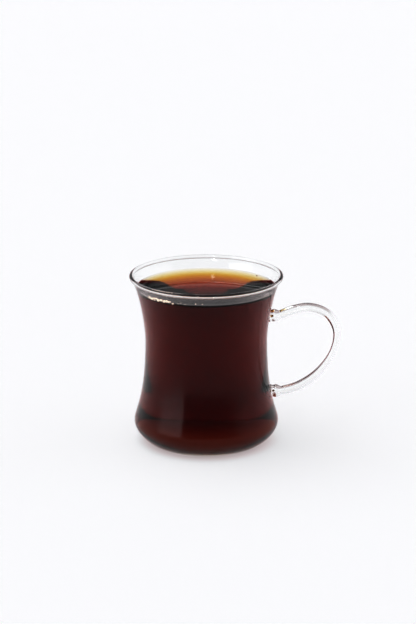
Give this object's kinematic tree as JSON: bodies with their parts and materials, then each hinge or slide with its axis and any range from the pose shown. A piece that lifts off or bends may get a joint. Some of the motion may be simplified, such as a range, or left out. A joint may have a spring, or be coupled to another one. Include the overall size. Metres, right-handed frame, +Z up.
{
  "type": "glass mug of black tea",
  "caption": "Waisted clear glass mug with a rounded lip, a full bulge above a flat foot and a fused glass rod handle, filled with black tea to just below the lip.",
  "frame": {"origin": "centre of the flat foot's underside, on the surface that the mug stands on", "axes": "+Z up along the axis of the body, +X towards the handle, +Y completes the right-handed set"},
  "size_m": [0.1126, 0.082, 0.0925],
  "materials": {
    "clear_glass": "clear, fire-polished borosilicate glass",
    "black_tea": "clear strong black tea, amber where thin and nearly black where deep"
  },
  "bodies": {
    "root": {"glass": "clear_glass", "tea": "black_tea"}
  },
  "joints": []
}
